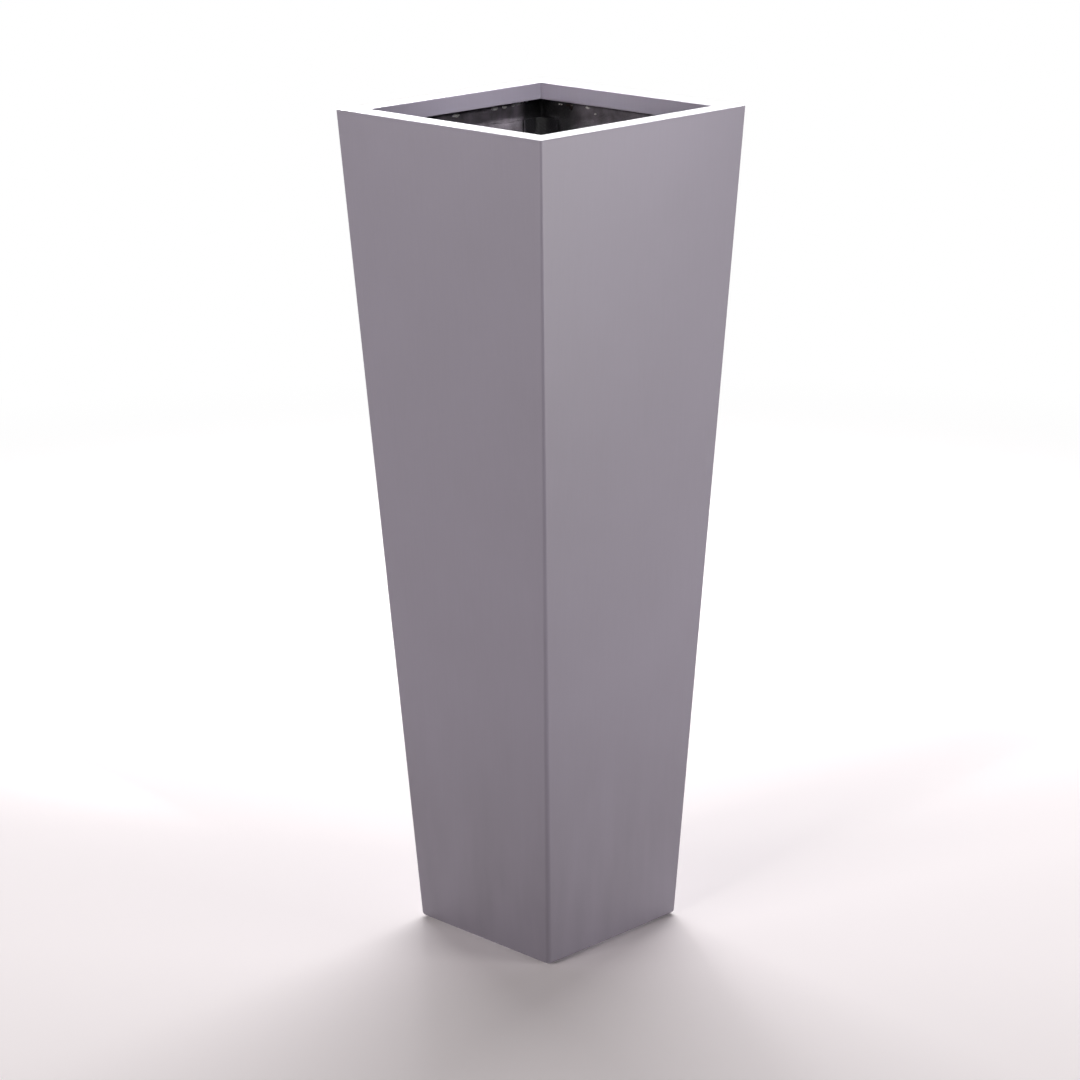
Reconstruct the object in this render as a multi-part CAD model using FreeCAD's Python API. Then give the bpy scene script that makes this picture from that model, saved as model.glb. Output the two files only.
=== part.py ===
import FreeCAD, Part
import math
import os

from FreeCAD import Vector

# A tall square planter in hand-laid fiberglass. A tapered wall moulding is turned in at the foot and
# closed at the top by a rim moulding with a turned-down lip. Inside are a black laminate, mitred battens
# and glass strips in the rim, a bonded base panel, and glass tapes over every joint. Below are four
# rubber pads and a rubber plug, which pulls down out of the drain hole.
# Frame: millimetres, +Z up, origin on the floor under the middle of the foot.
# Front is -Y, back is +Y, left is -X and right is +X.

# ---------------------------------------------------------------- driving dimensions
# Overall form
overall_height = 900.0
top_width = 300.0
foot_width = 200.0

# Rubber pads under the foot
pad_height = 2.0
pad_diameter = 20.0
pad_edge_chamfer = 0.6

# Wall moulding: the gelcoat and the first layers of glass mat
shell_wall = 3.0
shell_inside_radius = 5.0
top_corner_radius = 2.5
foot_corner_radius = 5.0
foot_edge_radius = 4.0
foot_flange_width = 28.0
foot_opening_radius = 12.0

# Black laminate over the inside of the walls
laminate_wall = 2.0
laminate_inside_radius = 5.0

# Rim moulding
rim_width = 25.0
rim_flange_thickness = 4.0
rim_lip_depth = 18.0
rim_lip_thickness = 3.5
rim_lip_corner_radius = 1.5
rim_edge_radius = 1.0
rim_lip_edge_radius = 0.8

# Glass strips that close the rim from below
rim_strip_thickness = 2.0
rim_strip_setback = 1.0  # from the lip's lower edge up to the strip
rim_strip_wall_leg = 24.0
rim_strip_cove_radius = 7.0

# Base panel, and the glass tapes over the inner joints
panel_thickness = 6.0
tape_thickness = 1.5
base_tape_leg = 26.0
base_tape_cove_radius = 8.0
corner_tape_leg = 28.0
corner_tape_cove_radius = 12.0

# Drain hole and its rubber plug
drain_hole_diameter = 25.0
plug_clearance = 0.08  # all round, between shank and hole
plug_head_diameter = 36.0
plug_head_thickness = 2.4
plug_head_chamfer = 0.9
plug_dish_diameter = 22.0
plug_dish_depth = 0.8
plug_shank_above_panel = 7.0
plug_tip_taper = 1.6
plug_tip_length = 3.0
plug_groove_count = 2
plug_groove_depth = 0.9
plug_groove_width = 1.8
plug_core_diameter = 14.0
plug_core_floor = 5.0

# ---------------------------------------------------------------- places that follow
foot_z = pad_height
panel_low = foot_z + shell_wall
panel_high = panel_low + panel_thickness
seam_z = overall_height - rim_flange_thickness
lip_low = overall_height - rim_lip_depth
rim_strip_under = lip_low + rim_strip_setback
batten_low = rim_strip_under + rim_strip_thickness
rim_strip_low = rim_strip_under - rim_strip_wall_leg

laminate_inset = shell_wall + laminate_wall
lip_half_inside = top_width / 2 - rim_width
lip_half_outside = lip_half_inside + rim_lip_thickness
lip_outside_radius = rim_lip_corner_radius + rim_lip_thickness
foot_opening_half = foot_width / 2 - foot_flange_width
pad_place = foot_width / 2 - (foot_flange_width + foot_edge_radius) / 2
taper_per_mm = (top_width - foot_width) / 2 / (overall_height - foot_z)

overshoot = 5.0  # past a face, for shapes that cut or are trimmed
beyond = 1.2 * top_width  # past the planter on every side
hair = 0.01  # for finding edges by their place
arc_rise = 1 - math.sqrt(0.5)  # of the radius, at the middle of a quarter arc

side_turns = {"right": 0, "back": 90, "left": 180, "front": 270}
corner_turns = {"back_right": 0, "back_left": 90, "front_left": 180, "front_right": 270}


# ---------------------------------------------------------------- shared shapes
def half_width(z):
    """Half the outer width, across the flats, at height z."""
    return foot_width / 2 + taper_per_mm * (z - foot_z)


def laminate_face(z):
    """How far out the inner laminate's inner face is, at height z."""
    return half_width(z) - laminate_inset


def corner_radius(z):
    """The outer corners are crisp at the rim and softer towards the foot."""
    share = (z - foot_z) / (overall_height - foot_z)
    return foot_corner_radius + share * (top_corner_radius - foot_corner_radius)


def turned(shape, degrees):
    """A copy of the shape, turned about the planter's upright axis."""
    copy = shape.copy()
    copy.rotate(Vector(0, 0, 0), Vector(0, 0, 1), degrees)
    return copy


def lines_through(points):
    """Straight edges from each point to the next."""
    return [Part.makeLine(a, b) for a, b in zip(points, points[1:])]


def rounded_square(half, radius, z):
    """The edges of a square with rounded corners, flat at height z: side and corner by turns."""
    flat = half - radius
    middle = half - radius * arc_rise
    side = Part.makeLine(Vector(half, -flat, z), Vector(half, flat, z))
    corner = Part.Arc(Vector(half, flat, z), Vector(middle, middle, z), Vector(flat, half, z)).toShape()
    return [turned(edge, turn) for turn in side_turns.values() for edge in (side, corner)]


def tapered_block(z_low, z_high, inset, radius=None):
    """A solid with flat sides that follow the planter's taper, inset from its outer faces."""
    low = rounded_square(half_width(z_low) - inset, radius or corner_radius(z_low), z_low)
    high = rounded_square(half_width(z_high) - inset, radius or corner_radius(z_high), z_high)
    # The bottom face is turned over, so that it faces outwards as the top one does.
    faces = [Part.Face(Part.Wire(low)).reversed(), Part.Face(Part.Wire(high))]
    for below, above in zip(low[0::2], high[0::2]):
        a, b = [vertex.Point for vertex in below.Vertexes]
        c, d = [vertex.Point for vertex in above.Vertexes]
        faces.append(Part.Face(Part.makePolygon([a, b, d, c, a])))
    for below, above in zip(low[1::2], high[1::2]):
        faces.append(Part.makeRuledSurface(below, above))
    shell = Part.Shell(faces)
    shell.sewShape()
    return Part.Solid(shell)


def upright_block(z_low, z_high, half, radius):
    """A straight-sided solid with a rounded square plan."""
    outline = Part.Face(Part.Wire(rounded_square(half, radius, z_low)))
    return outline.extrude(Vector(0, 0, z_high - z_low))


def room_inside_laminate(z_low, z_high):
    """The space that the inner laminate leaves, between two heights."""
    return tapered_block(z_low, z_high, laminate_inset, laminate_inside_radius)


def edges_at(shape, z, half=beyond):
    """The edges that lie flat at height z, no further out than half."""
    found = []
    for edge in shape.Edges:
        box = edge.BoundBox
        is_flat = abs(box.ZMin - z) < hair and abs(box.ZMax - z) < hair
        reach = max(box.XMax, -box.XMin, box.YMax, -box.YMin)
        if is_flat and reach < half + hair:
            found.append(edge)
    return found


def side_wedge():
    """The quarter of space on the right side, cut off along both mitres."""
    axis = Vector(0, 0, -overshoot)
    front_mitre = Vector(beyond, -beyond, -overshoot)
    back_mitre = Vector(beyond, beyond, -overshoot)
    plan = Part.Face(Part.makePolygon([axis, front_mitre, back_mitre, axis]))
    return plan.extrude(Vector(0, 0, overall_height + 2 * overshoot))


def side_strip(points, cove, room):
    """An L-section run along the right side: trimmed to the room, and mitred at both ends.

    The section goes straight through the points and back round the cove, a concave arc in X and Z.
    """
    edges = lines_through(points + cove[:1]) + [Part.Arc(*cove).toShape()]
    edges += lines_through([cove[-1], points[0]])
    bar = Part.Face(Part.Wire(edges)).extrude(Vector(0, 2 * beyond, 0))
    bar.translate(Vector(0, -beyond, 0))
    return bar.common(room).common(side_wedge())


# ---------------------------------------------------------------- walls and rim
def wall_moulding():
    """Four tapered walls in one piece, turned in at the foot to carry the base panel."""
    walls = tapered_block(foot_z, seam_z, 0)
    walls = walls.makeFillet(foot_edge_radius, edges_at(walls, foot_z))
    inside = tapered_block(panel_low, seam_z + overshoot, shell_wall, shell_inside_radius)
    opening_low = foot_z - overshoot
    opening = upright_block(opening_low, panel_low + overshoot, foot_opening_half, foot_opening_radius)
    return walls.cut(inside).cut(opening)


def inner_laminate():
    """The rough black laminate on the walls, which laps onto the base panel."""
    outside = tapered_block(panel_high, seam_z, shell_wall, shell_inside_radius)
    return outside.cut(room_inside_laminate(panel_high - overshoot, seam_z + overshoot))


def rim_moulding():
    """The flat rim, flush with the walls, and the lip turned down inside it."""
    flange = tapered_block(seam_z, overall_height, 0)
    flange = flange.makeFillet(rim_edge_radius, edges_at(flange, overall_height))
    lip = upright_block(lip_low, seam_z, lip_half_outside, lip_outside_radius)
    mouth_low = lip_low - overshoot
    mouth = upright_block(mouth_low, overall_height + overshoot, lip_half_inside, rim_lip_corner_radius)
    rim = flange.fuse(lip).cut(mouth).removeSplitter()
    rim = rim.makeFillet(rim_edge_radius, edges_at(rim, overall_height, lip_half_inside))
    return rim.makeFillet(rim_lip_edge_radius, edges_at(rim, lip_low, lip_half_inside))


def rim_batten():
    """The mitred batten that stiffens the right side of the rim, between lip and laminate."""
    lip = upright_block(batten_low - overshoot, seam_z + overshoot, lip_half_outside, lip_outside_radius)
    return room_inside_laminate(batten_low, seam_z).cut(lip).common(side_wedge())


def rim_strip():
    """The glass strip that closes the right side of the rim and runs down the wall."""
    wall_top = laminate_face(batten_low) + overshoot
    cove_low = rim_strip_under - rim_strip_cove_radius
    cove_x = laminate_face(cove_low) - rim_strip_thickness
    rise = rim_strip_cove_radius * arc_rise
    points = [
        Vector(laminate_face(rim_strip_low) - rim_strip_thickness, 0, rim_strip_low),
        Vector(wall_top, 0, rim_strip_low),
        Vector(wall_top, 0, batten_low),
        Vector(lip_half_outside, 0, batten_low),
        Vector(lip_half_outside, 0, rim_strip_under),
    ]
    cove = [
        Vector(cove_x - rim_strip_cove_radius, 0, rim_strip_under),
        Vector(cove_x - rise, 0, rim_strip_under - rise),
        Vector(cove_x, 0, cove_low),
    ]
    return side_strip(points, cove, room_inside_laminate(rim_strip_low, batten_low))


# ---------------------------------------------------------------- base and tapes
def base_panel():
    """The floor of the planter, seated on the foot flange, with the drain hole."""
    panel = tapered_block(panel_low, panel_high, shell_wall, shell_inside_radius)
    hole = Part.makeCylinder(drain_hole_diameter / 2, panel_thickness + 2 * overshoot)
    hole.translate(Vector(0, 0, panel_low - overshoot))
    return panel.cut(hole)


def corner_tape():
    """The glass tape and its putty cove up the back right inner corner."""
    wires = []
    for z in (panel_high, rim_strip_low):
        corner = laminate_face(z)
        outside = corner + overshoot
        end = corner - corner_tape_leg
        face = corner - tape_thickness
        cove = face - corner_tape_cove_radius
        middle = face - corner_tape_cove_radius * arc_rise
        points = [
            Vector(face, cove, z),
            Vector(face, end, z),
            Vector(outside, end, z),
            Vector(outside, outside, z),
            Vector(end, outside, z),
            Vector(end, face, z),
            Vector(cove, face, z),
        ]
        arc = Part.Arc(points[-1], Vector(middle, middle, z), points[0]).toShape()
        wires.append(Part.Wire(lines_through(points) + [arc]))
    tape = Part.makeLoft(wires, True, True)
    return tape.common(room_inside_laminate(panel_high, rim_strip_low))


def base_tape():
    """The glass tape over the joint of base panel and right wall, between two corner tapes."""
    tape_top = panel_high + base_tape_leg
    outside = laminate_face(tape_top) + overshoot
    floor_end = laminate_face(panel_high) - base_tape_leg
    floor_z = panel_high + tape_thickness
    cove_high = floor_z + base_tape_cove_radius
    cove_x = laminate_face(cove_high) - tape_thickness
    rise = base_tape_cove_radius * arc_rise
    points = [
        Vector(laminate_face(tape_top) - tape_thickness, 0, tape_top),
        Vector(outside, 0, tape_top),
        Vector(outside, 0, panel_high),
        Vector(floor_end, 0, panel_high),
        Vector(floor_end, 0, floor_z),
    ]
    cove = [
        Vector(cove_x - base_tape_cove_radius, 0, floor_z),
        Vector(cove_x - rise, 0, floor_z + rise),
        Vector(cove_x, 0, cove_high),
    ]
    strip = side_strip(points, cove, room_inside_laminate(panel_high, tape_top))
    upright_tape = corner_tape()
    return strip.cut(upright_tape).cut(turned(upright_tape, corner_turns["front_right"]))


# ---------------------------------------------------------------- rubber pieces
def drain_plug():
    """A rubber plug pressed in from below: dished head, grooved shank and hollow core."""
    head_radius = plug_head_diameter / 2
    dish_radius = plug_dish_diameter / 2
    shank_radius = drain_hole_diameter / 2 - plug_clearance
    core_radius = plug_core_diameter / 2
    head_low = panel_low - plug_head_thickness
    tip = panel_high + plug_shank_above_panel
    taper_low = tip - plug_tip_length
    groove_pitch = (taper_low - panel_low) / (plug_groove_count + 1)

    outline = [
        (0, head_low + plug_dish_depth),
        (dish_radius - plug_dish_depth, head_low + plug_dish_depth),
        (dish_radius, head_low),
        (head_radius - plug_head_chamfer, head_low),
        (head_radius, head_low + plug_head_chamfer),
        (head_radius, panel_low),
        (shank_radius, panel_low),
    ]
    for number in range(1, plug_groove_count + 1):
        groove_low = panel_low + number * groove_pitch - plug_groove_width / 2
        groove_high = groove_low + plug_groove_width
        outline += [
            (shank_radius, groove_low),
            (shank_radius - plug_groove_depth, groove_low),
            (shank_radius - plug_groove_depth, groove_high),
            (shank_radius, groove_high),
        ]
    outline += [
        (shank_radius, taper_low),
        (shank_radius - plug_tip_taper, tip),
        (core_radius, tip),
        (core_radius, head_low + plug_core_floor),
        (0, head_low + plug_core_floor),
    ]
    points = [Vector(radius, 0, z) for radius, z in outline]
    section = Part.Face(Part.makePolygon(points + points[:1]))
    return section.revolve(Vector(0, 0, 0), Vector(0, 0, 1), 360)


def foot_pad():
    """The round rubber pad under the back right corner."""
    pad = Part.makeCylinder(pad_diameter / 2, pad_height)
    pad = pad.makeChamfer(pad_edge_chamfer, edges_at(pad, 0))
    pad.translate(Vector(pad_place, pad_place, 0))
    return pad


# ---------------------------------------------------------------- assembly
def assembly():
    """Every piece by its name, in its place."""
    pieces = {
        "wall_moulding": wall_moulding(),
        "inner_laminate": inner_laminate(),
        "rim_moulding": rim_moulding(),
        "base_panel": base_panel(),
        "drain_plug": drain_plug(),
    }
    on_sides = {"rim_batten": rim_batten(), "rim_strip": rim_strip(), "base_tape": base_tape()}
    in_corners = {"corner_tape": corner_tape(), "foot_pad": foot_pad()}
    for shapes, turns in ((on_sides, side_turns), (in_corners, corner_turns)):
        for name, shape in shapes.items():
            for place, turn in turns.items():
                pieces[f"{name}_{place}"] = turned(shape, turn)
    return pieces


os.makedirs("parts", exist_ok=True)
for name, shape in assembly().items():
    solid = shape.Solids[0]
    cubic_cm = solid.Volume / 1000
    print(f"{name}: {len(shape.Solids)} solid, valid {solid.isValid()}, {cubic_cm:.2f} cm3")
    solid.exportStep(f"parts/{name}.step")
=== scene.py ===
# %% [markdown]
# # A tall square planter in painted fiberglass
#
# The planter stands 900 mm high on a 200 mm foot and opens to a 300 mm square mouth. Its outside is one
# smooth painted skin. Its inside is what the laminator left: black resin over glass mat, strips under the
# rim, tapes in the corners and a panel with a drain hole at the bottom.
#
# The imported model is loaded first, because every size and place here starts from it.

import math
import random

import bmesh
import bpy
from mathutils import Matrix, Vector


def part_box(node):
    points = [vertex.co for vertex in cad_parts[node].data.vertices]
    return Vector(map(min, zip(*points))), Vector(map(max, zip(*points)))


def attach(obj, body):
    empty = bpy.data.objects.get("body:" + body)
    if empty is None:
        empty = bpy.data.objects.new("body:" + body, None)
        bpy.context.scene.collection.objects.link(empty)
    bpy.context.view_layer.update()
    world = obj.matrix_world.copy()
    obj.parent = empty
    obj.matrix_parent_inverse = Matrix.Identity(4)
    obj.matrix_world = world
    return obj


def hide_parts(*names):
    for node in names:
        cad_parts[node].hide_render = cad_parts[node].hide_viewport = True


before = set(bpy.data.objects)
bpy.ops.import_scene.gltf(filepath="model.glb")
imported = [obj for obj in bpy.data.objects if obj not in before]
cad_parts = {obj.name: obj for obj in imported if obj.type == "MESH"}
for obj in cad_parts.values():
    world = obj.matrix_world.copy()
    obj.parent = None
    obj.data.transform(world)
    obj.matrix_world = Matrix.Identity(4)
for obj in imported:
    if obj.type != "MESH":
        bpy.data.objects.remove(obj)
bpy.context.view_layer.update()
mm = 0.001

# %% [markdown]
# ## Sizes that the frame gives
#
# The rim's box holds the mouth's height and the planter's top, and the wall's box holds the foot. The walls
# lean outwards by the same amount for each millimetre of height, so one function gives the half width of
# the planter at any height. Everything that follows the wall is placed with it.

# %% Sizes and the taper
rim_low, rim_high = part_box("rim_moulding")
wall_low, wall_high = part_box("wall_moulding")
panel_low, panel_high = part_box("base_panel")
top_z, lip_z, seam_z, foot_z = rim_high.z, rim_low.z, wall_high.z, wall_low.z
top_half = rim_high.x
foot_half = 100 * mm
wall_thickness = 3 * mm
laminate_thickness = 2 * mm
taper = (top_half - foot_half) / (top_z - foot_z)


def half_width(z):
    """Half the planter's outer width at height z."""
    return foot_half + taper * (z - foot_z)


print(f"the walls lean by {math.degrees(math.atan(taper)):.2f} degrees")

# %% [markdown]
# ## Camera
#
# A studio camera with a long lens looks down on one upright edge of the planter, from a little above its
# rim. A long lens keeps the sides nearly parallel, so the taper that shows is the planter's own. The camera
# leans by half a degree, as a hand-levelled tripod does.

# %% Camera
camera_place = Vector((2314.4, -2313.7, 1400.9)) * mm
heading = math.radians(45.10)
look_down = math.radians(16.45)
lean = math.radians(-0.56)

lens = bpy.data.cameras.new("studio_camera")
lens.lens = 105.98
lens.sensor_width = 36.0
camera = bpy.data.objects.new("studio_camera", lens)
bpy.context.scene.collection.objects.link(camera)
camera.matrix_world = (
    Matrix.Translation(camera_place)
    @ Matrix.Rotation(heading, 4, "Z")
    @ Matrix.Rotation(math.radians(90) - look_down, 4, "X")
    @ Matrix.Rotation(lean, 4, "Z")
)
bpy.context.scene.camera = camera
bpy.context.scene.view_settings.view_transform = "Standard"
print("the camera stands", round(camera_place.xy.length, 2), "m from the planter's middle")

# %% [markdown]
# ## Two small helpers for materials
#
# Colours are written as they are picked in a paint program, in sRGB. The renderer adds light, so it needs
# them linear, and one function turns them. The other function adds a shader node. It sets the node's
# options, gives each named input a value or a link, and returns the node.

# %% Helpers for colours and nodes
def linear(hex_colour):
    """An sRGB hex colour as linear RGBA."""
    shares = [int(hex_colour[start : start + 2], 16) / 255 for start in (1, 3, 5)]
    bent = [s / 12.92 if s <= 0.04045 else ((s + 0.055) / 1.055) ** 2.4 for s in shares]
    return (*bent, 1.0)


def add(tree, kind, inputs=None, **options):
    """Adds a shader node. An input, by name or number, takes a value, or a node or output to link."""
    node = tree.nodes.new("ShaderNode" + kind)
    for option, value in options.items():
        setattr(node, option, value)
    for key, value in (inputs or {}).items():
        named = [s for s in node.inputs if s.name == key and s.enabled]
        socket = named[0] if named else node.inputs[key]
        if isinstance(value, bpy.types.Node):
            value = next(s for s in value.outputs if s.enabled)
        if isinstance(value, bpy.types.NodeSocket):
            tree.links.new(value, socket)
        else:
            socket.default_value = value
    return node


def new_material(name):
    """An empty material and its node tree."""
    material = bpy.data.materials.new(name)
    material.use_nodes = True
    material.node_tree.nodes.clear()
    return material, material.node_tree


def seen_directly(tree):
    """1 for the rays that see a backdrop as it is: from the camera, in gloss and through glass."""
    ray = add(tree, "LightPath")
    camera_or_gloss = add(
        tree,
        "Math",
        {0: ray.outputs["Is Camera Ray"], 1: ray.outputs["Is Glossy Ray"]},
        operation="MAXIMUM",
    )
    through = ray.outputs["Is Transmission Ray"]
    return add(tree, "Math", {0: camera_or_gloss, 1: through}, operation="MAXIMUM")


print("sRGB #808080 is", round(linear("#808080")[0], 3), "in linear light")

# %% [markdown]
# ## Floor and backdrop
#
# The planter stands on seamless white paper. The paper is plain and diffuse, so it takes the planter's
# shadow. Far from the planter it turns into the white of the backdrop, for what the camera and gloss see,
# and adds no light of its own. Seen from below the floor is clear, and it lets a lamp under it through, so
# that the underside can be looked at.

# %% Floor
floor_size = 60.0
paper_colour = linear("#fbf5f7")
paper_bounce = linear("#b4b0b3")
paper_until = 0.9
white_from = 2.6

bpy.ops.object.select_all(action="DESELECT")
bpy.ops.mesh.primitive_plane_add(size=floor_size)
floor = bpy.context.object
floor.name = "studio_floor"

material, tree = new_material("floor_white_paper")
place = add(tree, "TexCoord")
from_middle = add(tree, "VectorMath", {0: place.outputs["Object"]}, operation="LENGTH")
far = add(
    tree,
    "MapRange",
    {"Value": from_middle.outputs["Value"], "From Min": paper_until, "From Max": white_from},
    interpolation_type="SMOOTHSTEP",
)
seen = seen_directly(tree)
white_share = add(tree, "Math", {0: far, 1: seen}, operation="MULTIPLY")
colour = add(tree, "Mix", {"Factor": seen, "A": paper_bounce, "B": paper_colour}, data_type="RGBA")
paper = add(tree, "BsdfDiffuse", {"Color": colour})
white = add(tree, "Emission", {"Color": (1, 1, 1, 1), "Strength": 1.0})
from_above = add(tree, "MixShader", {0: white_share, 1: paper, 2: white})
ray = add(tree, "LightPath")
below = add(
    tree,
    "Math",
    {0: add(tree, "NewGeometry").outputs["Backfacing"], 1: ray.outputs["Is Camera Ray"]},
    operation="MULTIPLY",
)
clear = add(tree, "Math", {0: below, 1: ray.outputs["Is Shadow Ray"]}, operation="MAXIMUM")
surface = add(tree, "MixShader", {0: clear, 1: from_above, 2: add(tree, "BsdfTransparent")})
add(tree, "OutputMaterial", {"Surface": surface})
floor.data.materials.append(material)
print("floor:", floor_size, "m of white paper")

# %% [markdown]
# ## Light
#
# The light is that of a white studio with two big softboxes behind the planter. They brighten the rim,
# which shows them in its satin paint, and throw a soft shadow towards the camera. Large panels out on the
# sides light the two faces that the camera sees, the right one more and from lower down, and leave the
# rounded edge between them a little darker. Three smaller softboxes with grids reach into the mouth.
# A lamp is placed by its turn round the planter from the camera's side, its height in degrees above the
# point it aims at, and its distance from there. The last one is under the floor. Its beam is no wider than
# the foot, so it lights the underside alone.

# %% Lamps and world
towards_camera = Vector((camera_place.x, camera_place.y, 0)).normalized()


def softbox(name, turn, rise, distance, aim_z, size, radiance, spread=180, colour="#ffffff"):
    """A rectangular area lamp that points at the planter's axis, as bright as its radiance says."""
    lamp = bpy.data.lights.new(name, "AREA")
    lamp.color = linear(colour)[:3]
    lamp.shape = "RECTANGLE"
    lamp.size, lamp.size_y = size
    lamp.energy = radiance * math.pi * lamp.size * lamp.size_y
    lamp.spread = math.radians(spread)
    level = Matrix.Rotation(math.radians(turn), 3, "Z") @ towards_camera
    away = level * math.cos(math.radians(rise)) + Vector((0, 0, math.sin(math.radians(rise))))
    holder = bpy.data.objects.new(name, lamp)
    bpy.context.scene.collection.objects.link(holder)
    holder.location = Vector((0, 0, aim_z)) + away * distance
    holder.rotation_mode = "QUATERNION"
    holder.rotation_quaternion = away.to_track_quat("Z", "Y")
    holder.visible_camera = False
    print(f"{name}: {lamp.energy:.0f} W over {lamp.size:g} x {lamp.size_y:g} m")
    return holder


softbox("key_softbox", 166, 35, 2.4, 0.45, (1.9, 1.0), 9.2)
softbox("back_softbox", -160, 15, 2.4, 0.90, (1.2, 0.8), 9.9)
softbox("low_right_panel", 68, 2, 2.5, 0.25, (1.0, 0.6), 21.8, colour="#fffcfa")
softbox("left_panel", -45, 14, 4.0, 0.60, (1.6, 1.6), 9.7, colour="#fffbf8")
softbox("tall_left_panel", -76, 3, 2.5, 0.45, (0.8, 1.8), 2.4, colour="#fffbf8")
softbox("mouth_softbox_right", 35, 50, 1.8, 1.06, (0.25, 0.25), 2.1, spread=12)
softbox("mouth_softbox_left", -35, 50, 1.8, 1.06, (0.25, 0.25), 0.85, spread=12)
softbox("low_mouth_softbox", 35, 20, 2.6, 0.93, (0.3, 0.3), 0.38, spread=14)
softbox("under_softbox", 0, -90, 1.4, 0.0, (0.12, 0.12), 2.0, spread=9)

world = bpy.data.worlds.new("white_studio")
bpy.context.scene.world = world
world.use_nodes = True
tree = world.node_tree
tree.nodes.clear()
fill = add(tree, "Background", {"Color": linear("#f4f3f6"), "Strength": 0.005})
white = add(tree, "Background", {"Color": (1, 1, 1, 1), "Strength": 1.0})
sky = add(tree, "MixShader", {0: seen_directly(tree), 1: fill, 2: white})
add(tree, "OutputWorld", {"Surface": sky})

# %% [markdown]
# ## Modelling helpers
#
# Nearly every piece of this planter is a square form with rounded corners that leans with the wall. Such a
# form is lofted: a plane is added at its size and height, its corners are rounded with a bevel, its face
# is deleted so that a ring of edges is left, and each ring is bridged to the next. When the last ring is
# bridged to the first, the form is a closed wall with a real thickness. Faces and edges are selected by
# their place, because a script can't click on them.

# %% Modelling helpers
corner_steps = 6
hair = 0.01 * mm
level = 0.02 * mm
step_apart = 0.015 * mm


def let_go():
    """Object mode with nothing selected, because an operator acts on all that is selected."""
    if bpy.context.mode != "OBJECT":
        bpy.ops.object.mode_set(mode="OBJECT")
    bpy.ops.object.select_all(action="DESELECT")


def take_up(piece):
    """Selects one piece and makes it the active one."""
    let_go()
    piece.select_set(True)
    bpy.context.view_layer.objects.active = piece


def begin(name):
    """A new piece at the origin, open in edit mode, to add and shape primitives in."""
    piece = bpy.data.objects.new(name, bpy.data.meshes.new(name))
    bpy.context.scene.collection.objects.link(piece)
    take_up(piece)
    bpy.ops.object.mode_set(mode="EDIT")
    return piece


def pick(piece, kind, test):
    """In edit mode, selects the VERT, EDGE or FACE elements whose every corner passes the test."""
    bpy.ops.mesh.select_mode(type=kind)
    bpy.ops.mesh.select_all(action="DESELECT")
    form = bmesh.from_edit_mesh(piece.data)
    elements = {"VERT": form.verts, "EDGE": form.edges, "FACE": form.faces}[kind]
    for element in elements:
        corners = [element] if kind == "VERT" else element.verts
        element.select_set(all(test(corner.co) for corner in corners))
    form.select_flush_mode()
    bmesh.update_edit_mesh(piece.data)


def on_ring(ring):
    """A test for points: does the point lie on this ring of (half width, corner radius, height)?"""
    half, radius, z = ring

    def test(point):
        past_corner = [max(abs(along) - (half - radius), 0) for along in point.xy]
        return abs(point.z - z) < level and abs(math.hypot(*past_corner) - radius) < hair

    return test


def add_ring(piece, ring, side_cuts):
    """Adds a square ring with rounded corners, its straight sides cut into equal lengths."""
    half, radius, z = ring
    bpy.ops.mesh.select_mode(type="VERT")
    bpy.ops.mesh.primitive_plane_add(size=2 * half, location=(0, 0, z))
    bpy.ops.mesh.bevel(offset=radius, segments=corner_steps, affect="VERTICES")
    pick(piece, "FACE", on_ring(ring))
    bpy.ops.mesh.delete(type="ONLY_FACE")
    if side_cuts:
        pick(piece, "EDGE", on_ring(ring))
        form = bmesh.from_edit_mesh(piece.data)
        for edge in form.edges:
            edge.select_set(edge.select and edge.calc_length() > half - radius)
        bmesh.update_edit_mesh(piece.data)
        bpy.ops.mesh.subdivide(number_cuts=side_cuts)


def loft(name, rings, side_cuts=0, cuts=None):
    """Lofts a closed form through the rings and back to the first, and leaves it in edit mode.

    Side cuts divide each straight side, and cuts, by a ring's number, the bridge that leaves it.
    """
    piece = begin(name)
    for number, (half, radius, z) in enumerate(rings):
        # The bridge takes its direction from one ring's middle to the next, so no two are quite level.
        is_level = abs(z - rings[number - 1][2]) < level
        add_ring(piece, (half, radius, z + is_level * step_apart), side_cuts)
    for number, (ring, following) in enumerate(zip(rings, rings[1:] + rings[:1])):
        on_first, on_second = on_ring(ring), on_ring(following)
        pick(piece, "VERT", lambda point: on_first(point) or on_second(point))
        bpy.ops.mesh.bridge_edge_loops(number_cuts=(cuts or {}).get(number, 0), interpolation="LINEAR")
    return piece


def round_over(piece, ring, radius, steps):
    """Rounds the sharp edge that runs along a ring."""
    pick(piece, "EDGE", on_ring(ring))
    bpy.ops.mesh.bevel(offset=radius, segments=steps, affect="EDGES")


def close_up(piece, smooth_below=35):
    """Turns the faces outwards, leaves edit mode and shades the rounded edges smooth."""
    bpy.ops.mesh.select_all(action="SELECT")
    bpy.ops.mesh.normals_make_consistent(inside=False)
    take_up(piece)
    bpy.ops.object.shade_smooth_by_angle(angle=math.radians(smooth_below))
    print(f"{piece.name}: {len(piece.data.polygons)} faces")


def apply_modifier(piece, kind, **settings):
    """Adds a modifier with its settings, and applies it."""
    take_up(piece)
    modifier = piece.modifiers.new(kind.lower(), kind)
    for setting, value in settings.items():
        setattr(modifier, setting, value)
    bpy.ops.object.modifier_apply(modifier=modifier.name)


def settle(piece, body, material, nodes):
    """Gives a finished piece its material and its body, and hides the nodes that it stands for."""
    piece.data.materials.append(material)
    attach(piece, body)
    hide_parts(*nodes)
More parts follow.
